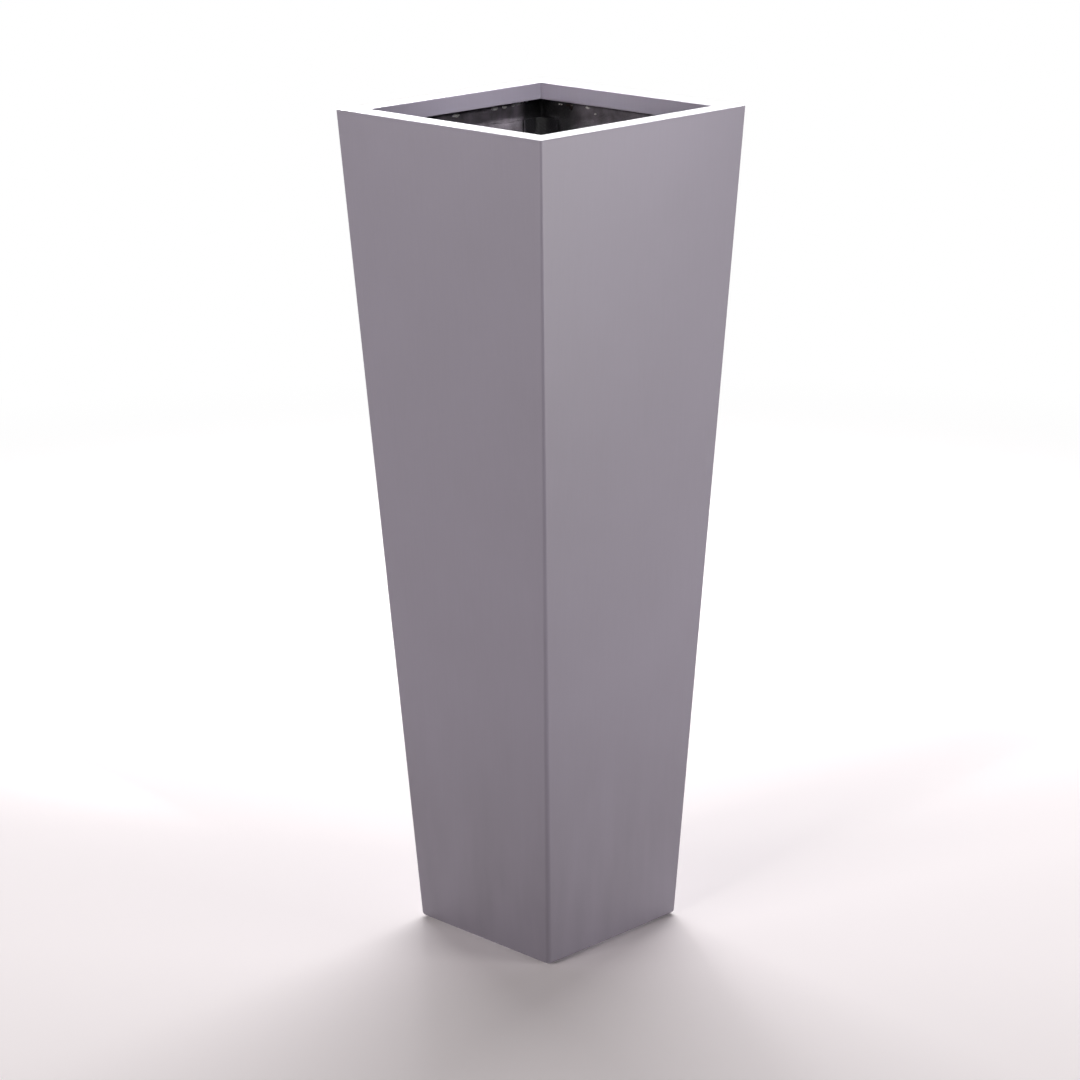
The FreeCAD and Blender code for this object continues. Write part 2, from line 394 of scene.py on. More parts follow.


# %% [markdown]
# ## Satin paint
#
# The outside is two-pack polyurethane paint, a mauve grey, sprayed over gelcoat and filler that were sanded
# flat. It lies smooth and satin: its gloss is broad, so it shows soft lamps as a gentle change of tone and
# no sharp picture. Up close it has orange peel, and the long sanding strokes under it print through as
# faint upright streaks. Towards the foot it is a touch darker in soft upright patches, which is painted
# shade: the foot gets less light.

# %% Satin polyurethane paint
streak_width = 2.4 * mm
streak_length = 160 * mm
streak_share = 0.35
blotch_width = 130 * mm
# Painted shade: soft upright patches that darken the paint towards the foot, which gets less light.
foot_shade_width, foot_shade_stretch = 30 * mm, 5
foot_shade_begins, foot_shade_full = 330 * mm, 60 * mm
orange_peel_width = 2.2 * mm
orange_peel_height = 0.012 * mm


def satin_paint():
    """Sprayed satin paint with upright streaks, soft blotches and orange peel."""
    material, tree = new_material("satin_polyurethane_paint")
    place = add(tree, "TexCoord").outputs["Object"]
    stretch = (1, 1, streak_width / streak_length)
    along = add(tree, "Mapping", {"Vector": place, "Scale": stretch})
    streaks = add(tree, "TexNoise", {"Vector": along, "Scale": 1 / streak_width, "Detail": 2.0})
    blotches = add(tree, "TexNoise", {"Vector": place, "Scale": 1 / blotch_width, "Detail": 3.0})
    # The painted shade towards the foot is drawn as upright patches.
    drawn_up = add(tree, "Mapping", {"Vector": place, "Scale": (1, 1, 1 / foot_shade_stretch)})
    foot_shade_patches = add(tree, "TexNoise", {"Vector": drawn_up, "Scale": 1 / foot_shade_width, "Detail": 2.0})
    height = add(tree, "SeparateXYZ", {"Vector": place}).outputs["Z"]
    near_foot = add(
        tree,
        "MapRange",
        {"Value": height, "From Min": foot_shade_begins, "From Max": foot_shade_full},
        interpolation_type="SMOOTHSTEP",
    )
    foot_shade_share = add(tree, "Math", {0: foot_shade_patches, 1: near_foot}, operation="MULTIPLY")
    tone = add(tree, "Mix", {"Factor": streak_share, "A": blotches, "B": streaks}, data_type="FLOAT")
    colour = add(
        tree, "Mix", {"Factor": tone, "A": linear("#827c88"), "B": linear("#8c8694")}, data_type="RGBA"
    )
    # The paint darkened by the painted shade towards the foot.
    duller = add(
        tree, "Mix", {"Factor": foot_shade_share, "A": colour, "B": linear("#77717b")}, data_type="RGBA"
    )
    gloss = add(tree, "MapRange", {"Value": tone, "To Min": 0.36, "To Max": 0.48})
    peel = add(tree, "TexNoise", {"Vector": place, "Scale": 1 / orange_peel_width, "Detail": 1.0})
    bump = add(tree, "Bump", {"Height": peel, "Distance": orange_peel_height, "Strength": 1.0})
    paint = add(
        tree, "BsdfPrincipled", {"Base Color": duller, "Roughness": gloss, "IOR": 1.5, "Normal": bump}
    )
    add(tree, "OutputMaterial", {"Surface": paint})
    return material


painted = satin_paint()
print("streaks", streak_width / mm, "mm wide, orange peel", orange_peel_width / mm, "mm")

# %% [markdown]
# ## Painted skin
#
# On the real planter the wall moulding and the rim moulding are laminated apart, bonded, filled and painted
# as one. The paint hides the seam, so here they are one skin. It is lofted once round its own section: up
# the outside, across the rim, down the lip, round under it, down the inside of the wall and over the foot
# flange to its opening. The corners are crisp at the rim and softer towards the foot, as a moulding comes
# out of such a tapered mould.

# %% Painted skin
mouth_half = 125 * mm
lip_thickness = 3.5 * mm
lip_corner = 1.5 * mm
inside_corner = 5 * mm
foot_opening_half, foot_opening_corner = 72 * mm, 12 * mm
foot_corner, rim_corner = 5 * mm, 2.5 * mm
rim_round, lip_round, foot_round = 1.0 * mm, 0.8 * mm, 4.0 * mm

foot_outside = (foot_half, foot_corner, foot_z)
rim_outside = (top_half, rim_corner, top_z)
rim_inside = (mouth_half, lip_corner, top_z)
lip_edge = (mouth_half, lip_corner, lip_z)
lip_back = (mouth_half + lip_thickness, lip_corner + lip_thickness, lip_z)
skin = loft(
    "painted_skin",
    [
        foot_outside,
        rim_outside,
        rim_inside,
        lip_edge,
        lip_back,
        (*lip_back[:2], seam_z),
        (half_width(seam_z) - wall_thickness, inside_corner, seam_z),
        (half_width(panel_low.z) - wall_thickness, inside_corner, panel_low.z),
        (foot_opening_half, foot_opening_corner, panel_low.z),
        (foot_opening_half, foot_opening_corner, foot_z),
    ],
)
round_over(skin, rim_outside, rim_round, 3)
round_over(skin, rim_inside, rim_round, 3)
round_over(skin, lip_edge, lip_round, 3)
round_over(skin, foot_outside, foot_round, 5)
close_up(skin)
apply_modifier(skin, "WEIGHTED_NORMAL", keep_sharp=True)
settle(skin, "planter", painted, ["wall_moulding", "rim_moulding"])

# %% [markdown]
# ## Helpers for rough laminate
#
# Hand-laid glass is never flat: resin gathers in lumps, and the glass lies in waves. Such a surface is cut
# into small faces and pushed in and out by a cloud texture, as wide and as high as the real lumps. A flat
# map in metres is laid on each wall first, so that a material can draw threads in the wall's own plane. The
# walls' maps lie apart, so no two walls show the same glass. What stands on all four sides is made once,
# and copied by quarter turns. The lumps come after the copying, and differ from copy to copy.

# %% Helpers for laminate
sides = ["right", "back", "left", "front"]
corners = ["back_right", "back_left", "front_left", "front_right"]
map_shift_x, map_shift_y = 0.5, 1.1


def laminate_face(z):
    """How far out the laminate's inner face is, at height z."""
    return half_width(z) - wall_thickness - laminate_thickness


def further_in(distance):
    """A test for points that lie more than this far inside the laminate's face."""
    return lambda point: max(abs(point.x), abs(point.y)) < laminate_face(point.z) - distance


def lay_map(piece):
    """Lays a flat map in metres on each side, and moves the sides' maps apart."""
    take_up(piece)
    bpy.ops.object.mode_set(mode="EDIT")
    bpy.ops.mesh.select_all(action="SELECT")
    bpy.ops.uv.cube_project(cube_size=1.0, correct_aspect=False)
    bpy.ops.object.mode_set(mode="OBJECT")
    flat_map = piece.data.uv_layers.active.data
    for face in piece.data.polygons:
        aside = map_shift_x * round(face.normal.x) + map_shift_y * round(face.normal.y)
        for corner in face.loop_indices:
            flat_map[corner].uv.x += aside


def roughen(piece, test, lumps, direction="NORMAL"):
    """Pushes the points that pass the test in and out by clouds of (width, height)."""
    group = piece.vertex_groups.new(name="rough")
    group.add([point.index for point in piece.data.vertices if test(point.co)], 1.0, "REPLACE")
    for width, height in lumps:
        clouds = bpy.data.textures.new(f"lumps_of_{width / mm:g}_mm", "CLOUDS")
        clouds.noise_scale = width
        apply_modifier(
            piece,
            "DISPLACE",
            texture=clouds,
            texture_coords="LOCAL",
            direction=direction,
            strength=height,
            vertex_group=group.name,
        )
    piece.vertex_groups.clear()


def copies_round(first, names):
    """The piece and its copies by quarter turns round the planter, each with its own mesh."""
    pieces = [first]
    for number in (1, 2, 3):
        take_up(first)
        bpy.ops.object.duplicate(linked=False)
        piece = bpy.context.object
        quarter_turns = math.radians(-90 * number)
        bpy.ops.transform.rotate(value=quarter_turns, orient_axis="Z", center_override=(0, 0, 0))
        bpy.ops.object.transform_apply()
        pieces.append(piece)
    for piece, name in zip(pieces, names):
        piece.name = piece.data.name = name
    return pieces


def keep_side(piece, point, away):
    """Cuts the piece by a plane, keeps the side that the direction points to, and closes the cut."""
    bpy.ops.mesh.select_all(action="SELECT")
    bpy.ops.mesh.bisect(plane_co=point, plane_no=away, clear_inner=True)
    bpy.ops.mesh.select_all(action="SELECT")
    bpy.ops.mesh.fill_holes(sides=0)


def cove_rings(half, corner, flat_z, radius, side, steps=5):
    """Rings round a hollow quarter arc from a flat at this height to a wall above (1) or below (-1)."""
    turns = [math.radians(90) * step / steps for step in range(steps + 1)]
    return [
        (
            half - radius * (1 - math.sin(turn)),
            corner,
            flat_z + side * radius * (1 - math.cos(turn)),
        )
        for turn in turns
    ]


print("the laminate's face at the rim is", round(laminate_face(seam_z) / mm, 1), "mm out")

# %% [markdown]
# ## Black laminate
#
# The walls' strength is chopped-strand mat: short strands of glass, strewn in all directions and wetted out
# with polyester resin, here with black pigment. The mould side is smooth, and this is the other side. What
# shows is a dark, half-glossy resin with the strands in low relief, upright runs where it sagged, and
# pinholes. The paint gun dusted it grey for some centimetres under the lip. The grey is painted light as
# well: it is lightest there, where light comes into the mouth, and it is left off as painted shade further
# down, in the corners and in a narrow band right under the lip.
#
# A strand is drawn as a long cell: a cell pattern is stretched to the length and width of a strand, and
# only the heart of each cell is kept. Five such layers, turned against each other, make a mat.

# %% Chopped glass in black resin
strand_length = 34 * mm
strand_width = 1.6 * mm
strand_relief = 0.30 * mm
strand_edge, strand_heart = 0.42, 0.18
strand_turns = (8, 47, 83, 121, 158)
run_width = 7 * mm
run_length = 90 * mm
run_relief = 0.8 * mm
pinhole_spacing = 9 * mm
pinhole_depth = 0.3 * mm
# The grey over the resin is overspray and painted light together. It is lightest a little below the lip,
# where light comes in. Further down, in the corners and right under the lip it is left off as painted
# shade.
overspray_and_light_cover = 0.92
dust_cloud_width = 14 * mm
dust_begins, dust_full = 0.08, 0.76
dust_and_light_from, dust_and_light_well = 800 * mm, 862 * mm
lip_shadow_begins, under_lip = 876 * mm, 881 * mm
corner_shade_on_side, corner_shade_ends_on_side = 24 * mm, 37 * mm
corner_shade_on_back, corner_shade_ends_on_back = 40 * mm, 80 * mm


def strands(tree, flat_map):
    """The relief of a mat of short straight strands, from 0 to 1."""
    relief = None
    for number, turn in enumerate(strand_turns):
        laid = add(
            tree,
            "Mapping",
            {"Vector": flat_map, "Rotation": (0, 0, math.radians(turn)), "Location": (number, 0, 0)},
        )
        long_cells = add(
            tree, "Mapping", {"Vector": laid, "Scale": (1 / strand_length, 1 / strand_width, 1)}
        )
        cell = add(tree, "TexVoronoi", {"Vector": long_cells, "Scale": 1.0}, voronoi_dimensions="2D")
        heart = add(
            tree,
            "MapRange",
            {"Value": cell.outputs["Distance"], "From Min": strand_edge, "From Max": strand_heart},
            interpolation_type="SMOOTHSTEP",
        )
        relief = heart if relief is None else add(tree, "Math", {0: relief, 1: heart}, operation="MAXIMUM")
    return relief


def overspray_and_painted_light(tree, place):
    """How thickly the grey lies, overspray and painted light: most below the lip, never even, with painted
    shade deeper down, in the corners and right under the lip.
    """
    parts = add(tree, "SeparateXYZ", {"Vector": place})
    corner = laminate_face(dust_and_light_well)

    def share(value, start, end):
        limits = {"Value": value, "From Min": start, "From Max": end}
        return add(tree, "MapRange", limits, interpolation_type="SMOOTHSTEP")

    # Left off in the corners, where shade falls: painted shade.
    out_x = add(tree, "Math", {0: parts.outputs["X"]}, operation="ABSOLUTE")
    out_y = add(tree, "Math", {0: parts.outputs["Y"]}, operation="ABSOLUTE")
    on_sides = share(out_y, corner - corner_shade_on_side, corner - corner_shade_ends_on_side)
    on_back = share(out_x, corner - corner_shade_on_back, corner - corner_shade_ends_on_back)
    out_of_corner_shade = add(tree, "Math", {0: on_sides, 1: on_back}, operation="MAXIMUM")
    # Lightest high up, where light comes in, and off right under the lip: the lip's painted shadow.
    high = share(parts.outputs["Z"], dust_and_light_from, dust_and_light_well)
    out_of_lip_shadow = share(parts.outputs["Z"], under_lip, lip_shadow_begins)
    clouds = add(tree, "TexNoise", {"Vector": place, "Scale": 1 / dust_cloud_width, "Detail": 5.0})
    dust = add(tree, "MapRange", {"Value": clouds, "From Min": dust_begins, "From Max": dust_full})
    for limit in (out_of_corner_shade, high, out_of_lip_shadow):
        dust = add(tree, "Math", {0: dust, 1: limit}, operation="MULTIPLY")
    return dust


def black_resin(name, relief_of, relief_height):
    """Half-glossy black polyester resin over a relief, grey under the lip with overspray and painted light.
    """
    material, tree = new_material(name)
    coordinates = add(tree, "TexCoord")
    place, flat_map = coordinates.outputs["Object"], coordinates.outputs["UV"]
    relief = relief_of(tree, flat_map)
    sag = add(tree, "Mapping", {"Vector": place, "Scale": (1, 1, run_width / run_length)})
    runs = add(tree, "TexNoise", {"Vector": sag, "Scale": 1 / run_width, "Detail": 2.0})
    holes = add(tree, "TexVoronoi", {"Vector": place, "Scale": 1 / pinhole_spacing})
    pits = add(tree, "MapRange", {"Value": holes.outputs["Distance"], "From Min": 0.04, "From Max": 0.10})
    tone = add(tree, "Mix", {"Factor": 0.5, "A": relief, "B": runs}, data_type="FLOAT")
    resin = add(
        tree, "Mix", {"Factor": tone, "A": linear("#09080b"), "B": linear("#161519")}, data_type="RGBA"
    )
    # The grey mixed into the resin: overspray and painted light.
    dust = add(tree, "Math", {0: overspray_and_painted_light(tree, place), 1: overspray_and_light_cover}, operation="MULTIPLY")
    colour = add(tree, "Mix", {"Factor": dust, "A": resin, "B": linear("#8f8791")}, data_type="RGBA")
    gloss = add(tree, "MapRange", {"Value": tone, "To Min": 0.30, "To Max": 0.52})
    duller = add(tree, "Mix", {"Factor": dust, "A": gloss, "B": 0.8}, data_type="FLOAT")
    waves = add(tree, "Bump", {"Height": runs, "Distance": run_relief})
    lines = add(tree, "Bump", {"Height": relief, "Distance": relief_height, "Normal": waves})
    pitted = add(tree, "Bump", {"Height": pits, "Distance": pinhole_depth, "Normal": lines})
    surface = add(
        tree, "BsdfPrincipled", {"Base Color": colour, "Roughness": duller, "IOR": 1.54, "Normal": pitted}
    )
    add(tree, "OutputMaterial", {"Surface": surface})
    return material


chopped_glass = black_resin("chopped_glass_in_black_resin", strands, strand_relief)
print("strands", strand_length / mm, "mm long and", strand_width / mm, "mm wide")

# %% [markdown]
# ## Rough lining
#
# The lining is a thin square tube that follows the walls. It is lofted like the skin, with its inner wall
# cut into faces of about 4 mm, which is fine enough for lumps of 12 mm and more. Only that wall is pushed
# in and out: the side that is bonded to the skin stays where it is.

# %% Rough lining
lining_lumps = [(38 * mm, 1.5 * mm), (13 * mm, 0.8 * mm)]
just_behind = 0.2 * mm  # the test begins this far behind the inner wall's face
lining = loft(
    "rough_lining",
    [
        (half_width(panel_high.z) - wall_thickness, inside_corner, panel_high.z),
        (half_width(seam_z) - wall_thickness, inside_corner, seam_z),
        (laminate_face(seam_z), inside_corner, seam_z),
        (laminate_face(panel_high.z), inside_corner, panel_high.z),
    ],
    side_cuts=66,
    cuts={2: 210},
)
close_up(lining)
lay_map(lining)
roughen(lining, further_in(-just_behind), lining_lumps)
settle(lining, "planter", chopped_glass, ["inner_laminate"])

# %% [markdown]
# ## Strips under the rim
#
# The rim is hollow until strips of mat close it from below. Each strip is bonded under the battens beside
# the lip, turns down the wall in a hollow arc, and thins out to a ragged edge a finger's breadth lower. The
# laminator loads them with resin and filler, so they are the lumpiest part of the planter.
#
# A strip is lofted round its L-shaped section as a whole square ring, and two cuts along the mitres leave
# one side of it. The copies are roughened after they are turned. Their lower edge is moved up and down as
# well, because mat is torn rather than cut.

# %% Strips under the rim
strip_high, strip_under, strip_low = 885 * mm, 883 * mm, 859 * mm
strip_thickness = 2 * mm
strip_edge = 0.6 * mm
strip_cove = 7 * mm
strip_lumps = [(17 * mm, 1.3 * mm), (6 * mm, 0.9 * mm)]
torn_edge = [(24 * mm, 5 * mm), (7 * mm, 3 * mm)]
lip_outside, lip_outside_corner = lip_back[:2]


def mitred(piece):
    """Cuts a square ring down to its right side, along both mitres."""
    keep_side(piece, (0, 0, 0), (1, 1, 0))
    keep_side(piece, (0, 0, 0), (1, -1, 0))


strip_wall = laminate_face(strip_under - strip_cove) - strip_thickness
ring = loft(
    "lumpy_strip",
    [
        (laminate_face(strip_high), inside_corner, strip_high),
        (lip_outside, lip_outside_corner, strip_high),
        (lip_outside, lip_outside_corner, strip_under),
        *cove_rings(strip_wall, inside_corner, strip_under, strip_cove, -1),
        (laminate_face(strip_low) - strip_edge, inside_corner, strip_low),
        (laminate_face(strip_low), inside_corner, strip_low),
    ],
    side_cuts=110,
    cuts={2: 2, 8: 7},
)
mitred(ring)
close_up(ring)
for side, strip in zip(sides, copies_round(ring, [f"lumpy_strip_{side}" for side in sides])):
    lay_map(strip)
    roughen(strip, lambda point: point.z < strip_high - 1 * mm, strip_lumps)
    roughen(strip, lambda point: point.z < strip_low + 2 * mm, torn_edge, "Z")
    settle(strip, "planter", chopped_glass, [f"rim_strip_{side}"])
    middle = sum((Vector(corner) for corner in strip.bound_box), Vector()) / 8
    frame_middle = sum(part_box(f"rim_strip_{side}"), Vector()) / 2
    print(side, "strip is off the frame's by", round((middle - frame_middle).length / mm, 2), "mm")

# %% [markdown]
# ## Filler and brown resin
#
# Where a strip left a hollow beside the lip, the laminator pressed in a dab of pale polyester filler, and
# in one place clear resin ran down and cured brown. Filler is chalk in resin: dull, full of fine pinholes,
# and smeared with black where the glove was still wet. The run kept its wet gloss.

# %% Filler and cured resin
filler_pore = 0.8 * mm
filler_pore_depth = 0.2 * mm
glove_smear = 3 * mm
resin_wave, resin_wave_height = 4 * mm, 0.3 * mm


def pale_filler():
    """Pale polyester filler, dull and chalky, smeared with black resin here and there."""
    material, tree = new_material("polyester_filler")
    place = add(tree, "TexCoord").outputs["Object"]
    clouds = add(tree, "TexNoise", {"Vector": place, "Scale": 1 / glove_smear, "Detail": 4.0})
    smeared = add(tree, "MapRange", {"Value": clouds, "From Min": 0.56, "From Max": 0.66})
    colour = add(
        tree, "Mix", {"Factor": smeared, "A": linear("#f0ecec"), "B": linear("#5a565a")}, data_type="RGBA"
    )
    gloss = add(tree, "MapRange", {"Value": smeared, "To Min": 0.85, "To Max": 0.5})
    holes = add(tree, "TexVoronoi", {"Vector": place, "Scale": 1 / filler_pore})
    pits = add(tree, "Bump", {"Height": holes.outputs["Distance"], "Distance": filler_pore_depth})
    surface = add(
        tree, "BsdfPrincipled", {"Base Color": colour, "Roughness": gloss, "IOR": 1.5, "Normal": pits}
    )
    add(tree, "OutputMaterial", {"Surface": surface})
    return material


def brown_resin():
    """Clear polyester resin that cured brown over black laminate, with a wet gloss."""
    material, tree = new_material("cured_brown_resin")
    place = add(tree, "TexCoord").outputs["Object"]
    thickness = add(tree, "TexNoise", {"Vector": place, "Scale": 1 / resin_wave, "Detail": 2.0})
    colour = add(
        tree,
        "Mix",
        {"Factor": thickness, "A": linear("#140e0c"), "B": linear("#2e1f18")},
        data_type="RGBA",
    )
    gloss = add(tree, "MapRange", {"Value": thickness, "To Min": 0.12, "To Max": 0.25})
    waves = add(tree, "Bump", {"Height": thickness, "Distance": resin_wave_height})
    surface = add(
        tree, "BsdfPrincipled", {"Base Color": colour, "Roughness": gloss, "IOR": 1.55, "Normal": waves}
    )
    add(tree, "OutputMaterial", {"Surface": surface})
    return material


filler = pale_filler()
cured_resin = brown_resin()
print("filler: a pinhole every", filler_pore / mm, "mm")

# %% [markdown]
# ## Dabs
#
# A dab starts as a ball that is pressed flat against the strip and sunk into it by half. A fine cloud
# texture then makes it a lump. The dabs that show in the mouth are listed one by one, and the other two
# sides get a few at random places from a fixed seed.

# %% Dabs
outward = {"left": Vector((-1, 0, 0)), "back": Vector((0, 1, 0)), "right": Vector((1, 0, 0))}
outward["front"] = -outward["back"]
strip_half = strip_wall - 0.2 * mm
dab_depth = 2.2 * mm
dab_lumps = [(5 * mm, 1.6 * mm), (1.8 * mm, 0.8 * mm)]


def press_on(side, along, z, size):
    """In edit mode, adds a flattened ball of (width, height, depth) to a strip, at a place along it."""
    out = outward[side]
    beside = Vector((abs(out.y), abs(out.x), 0))
    place = out * strip_half + beside * along + Vector((0, 0, z))
    width, height, depth = size
    bpy.ops.mesh.primitive_uv_sphere_add(segments=20, ring_count=12, radius=0.5, location=place)
    flat = [width if beside.x else depth, depth if beside.x else width, height]
    bpy.ops.transform.resize(value=flat, center_override=place)


def lump(name, dabs, material):
    """Presses dabs of (side, along, z, width, height) in mm on a strip, and makes lumps of them."""
    piece = begin(name)
    for side, along, z, width, height in dabs:
        press_on(side, along * mm, z * mm, (width * mm, height * mm, dab_depth))
    close_up(piece)
    roughen(piece, lambda point: True, dab_lumps)
    settle(piece, "planter", material, [])


lump(
    "filler_dabs_left",
    [
        ("left", 13, 875.3, 12, 3.8),
        ("left", 70.9, 876.5, 10.5, 4.0),
        ("left", 86, 876.0, 7, 2.8),
        ("left", 99, 877.0, 7, 3.4),
        ("left", 105, 877.8, 9, 3.6),
        ("left", 111.5, 877.9, 6.5, 3.2),
        ("left", 119.8, 879.2, 5, 2.2),
    ],
    filler,
)
lump(
    "filler_dabs_back",
    [
        ("back", -110.8, 876.0, 6, 1.8),
        ("back", -69.9, 876.3, 7.5, 2.2),
        ("back", -58.2, 870.3, 3, 2.4),
    ],
    filler,
)
chance = random.Random(12)
limits = [(-115, 115), (873, 878), (5, 9), (2, 3.2)]
for side in ("right", "front"):
    dabs = [(side, *(chance.uniform(*limit) for limit in limits)) for _ in range(5)]
    lump(f"filler_dabs_{side}", dabs, filler)
lump("resin_run", [("back", -97, 876.4, 11, 4), ("back", -95, 874.0, 5, 6)], cured_resin)

# %% [markdown]
# ## Glass tape
#
# The joints are covered with glass tape: a plain-woven ribbon with a thread every 2 mm or so, wetted out
# with the same black resin over a rounded putty cove. The threads go over and under each other, so the
# relief is a sine along the tape times a sine across it, one hill to each crossing.

# %% Woven glass in black resin
thread_spacing = 2.0 * mm
thread_relief = 0.22 * mm
thread_drift, drift_length = 3 * mm, 25 * mm


def weave(tree, flat_map):
    """The relief of a plain weave, from 0 to 1."""
    waviness = add(tree, "TexNoise", {"Vector": flat_map, "Scale": 1 / drift_length, "Detail": 1.0})
    drift = add(
        tree, "VectorMath", {0: waviness.outputs["Color"], "Scale": thread_drift}, operation="SCALE"
    )
    bent = add(tree, "VectorMath", {0: flat_map, 1: drift}, operation="ADD")
    threads = add(tree, "SeparateXYZ", {"Vector": bent})
    hills = []
    for axis in ("X", "Y"):
        turn = add(
            tree, "Math", {0: threads.outputs[axis], 1: math.pi / thread_spacing}, operation="MULTIPLY"
        )
        hills.append(add(tree, "Math", {0: turn}, operation="SINE"))
    crossing = add(tree, "Math", {0: hills[0], 1: hills[1]}, operation="MULTIPLY")
    return add(tree, "MapRange", {"Value": crossing, "From Min": -1.0, "From Max": 1.0})


woven_glass = black_resin("woven_glass_tape_in_black_resin", weave, thread_relief)
print("tape: a thread every", thread_spacing / mm, "mm")

# %% [markdown]
# ## Corner tapes
#
# One tape runs up each inner corner from the base panel to the rim's strips. It is a corner of a lofted
# square tube, cut free by two planes that lean with the walls. Its edges wander by a millimetre or two,
# which is done by pushing the edge points along the wall.

# %% Corner tapes
tape_thickness = 1.5 * mm
corner_leg = 28 * mm
corner_cove = 12 * mm
edge_strip = 5 * mm
wandering_edge = [(60 * mm, 4 * mm), (14 * mm, 1.6 * mm)]
tape_lumps = [(30 * mm, 0.6 * mm), (10 * mm, 0.4 * mm)]


def near_edge(along):
    """A test for points near the tape's edge on the wall that runs along X (0) or Y (1)."""
    return lambda point: abs(point[along]) < laminate_face(point.z) - corner_leg + edge_strip


tube = loft(
    "corner_glass",
    [
        (laminate_face(panel_high.z), inside_corner, panel_high.z),
        (laminate_face(strip_low), inside_corner, strip_low),
        (laminate_face(strip_low) - tape_thickness, corner_cove, strip_low),
        (laminate_face(panel_high.z) - tape_thickness, corner_cove, panel_high.z),
    ],
    side_cuts=62,
    cuts={2: 200},
)
leg_end = laminate_face(panel_high.z) - corner_leg
keep_side(tube, (leg_end, 0, panel_high.z), (1, 0, -taper))
keep_side(tube, (0, leg_end, panel_high.z), (0, 1, -taper))
close_up(tube)
for corner, tape in zip(corners, copies_round(tube, [f"corner_glass_{corner}" for corner in corners])):
    lay_map(tape)
    roughen(tape, near_edge(1), wandering_edge, "Y")
    roughen(tape, near_edge(0), wandering_edge, "X")
    roughen(tape, further_in(tape_thickness / 2), tape_lumps)
    settle(tape, "planter", woven_glass, [f"corner_tape_{corner}"])

# %% [markdown]
# ## Base tapes
#
# The base panel is taped last, over the feet of the corner tapes. Each base tape lies on the panel, turns
# up in a hollow arc and climbs the wall by a thumb's breadth. It is made like the strips under the rim.

# %% Base tapes
base_leg = 26 * mm
base_cove = 8 * mm
base_glass_thickness = 2.2 * mm  # the tape and the edge of the corner tape under it
tape_floor = panel_high.z + base_glass_thickness
tape_top = panel_high.z + base_leg
torn_top = [(50 * mm, 4 * mm), (9 * mm, 1.5 * mm)]
base_lumps = [(24 * mm, 0.7 * mm), (9 * mm, 0.5 * mm)]
floor_end = laminate_face(panel_high.z) - base_leg
cove_wall = laminate_face(tape_floor + base_cove) - base_glass_thickness


def on_open_glass(point):
    """Is the point on the face of the tape that looks into the planter?"""
    return point.z > tape_floor - hair and further_in(1 * mm)(point)


ring = loft(
    "base_glass",
    [
        (laminate_face(tape_top), inside_corner, tape_top),
        (laminate_face(panel_high.z), inside_corner, panel_high.z),
        (floor_end, corner_cove, panel_high.z),
        (floor_end, corner_cove, tape_floor),
        *cove_rings(cove_wall, corner_cove, tape_floor, base_cove, 1),
        (laminate_face(tape_top) - base_glass_thickness, corner_cove, tape_top),
    ],
    side_cuts=70,
    cuts={3: 5, 9: 4},
)
mitred(ring)
close_up(ring)
for side, tape in zip(sides, copies_round(ring, [f"base_glass_{side}" for side in sides])):
    lay_map(tape)
    roughen(tape, lambda point: point.z > tape_top - 1 * mm, torn_top, "Z")
    roughen(tape, on_open_glass, base_lumps)
    settle(tape, "planter", woven_glass, [f"base_tape_{side}"])

# %% [markdown]
# ## Base panel
#
# The panel is a flat laminate with a drain hole cut through its middle. A circle and a square ring make
# each of its two faces, and bridges join the four rings into a closed slab. Its upper face got a coat of
# black resin when the tapes were laid, and is gently uneven.

# %% Base panel
hole_radius = 12.5 * mm
panel_sides = 47
round_hole, lumpy_half = 16 * mm, 94 * mm  # it stays flat round the hole and along the walls
panel_lumps = [(34 * mm, 1.0 * mm), (12 * mm, 0.5 * mm)]

panel = begin("laminate_panel")
panel_rings = [
    (half_width(panel_low.z) - wall_thickness, inside_corner, panel_low.z),
    (half_width(panel_high.z) - wall_thickness, inside_corner, panel_high.z),
]
hole_points = 4 * (panel_sides + 1 + corner_steps)
for ring in panel_rings:
    add_ring(panel, ring, panel_sides)
    place = (0, 0, ring[2] + step_apart)
    bpy.ops.mesh.primitive_circle_add(vertices=hole_points, radius=hole_radius, location=place)


def at_hole(z):
    """A test for points on the edge of the drain hole at height z."""
    return lambda point: abs(point.z - z) < level and point.xy.length < hole_radius + hair


def on_open_panel(point):
    """Is the point on the panel's upper face, off the hole's edge and the walls?"""
    off_hole = point.xy.length > round_hole
    off_walls = max(abs(point.x), abs(point.y)) < lumpy_half
    return point.z > panel_high.z - hair and off_hole and off_walls


under, over = panel_rings
for first, second, cuts in (
    (on_ring(under), on_ring(over), 0),
    (on_ring(over), at_hole(over[2]), 26),
    (at_hole(over[2]), at_hole(under[2]), 1),
    (at_hole(under[2]), on_ring(under), 12),
):
    pick(panel, "VERT", lambda point: first(point) or second(point))
    bpy.ops.mesh.bridge_edge_loops(number_cuts=cuts, interpolation="LINEAR")
close_up(panel)
lay_map(panel)
roughen(panel, on_open_panel, panel_lumps)
settle(panel, "planter", chopped_glass, ["base_panel"])

# %% [markdown]
# ## Rubber
#
# The plug and the pads are black rubber, moulded under pressure in a turned steel mould. That leaves a dull
# skin with a very fine grain. Rubber also keeps dust, so it looks grey where it isn't handled.

# %% Moulded rubber
rubber_grain = 0.5 * mm
grain_relief = 0.05 * mm
dust_width = 7 * mm


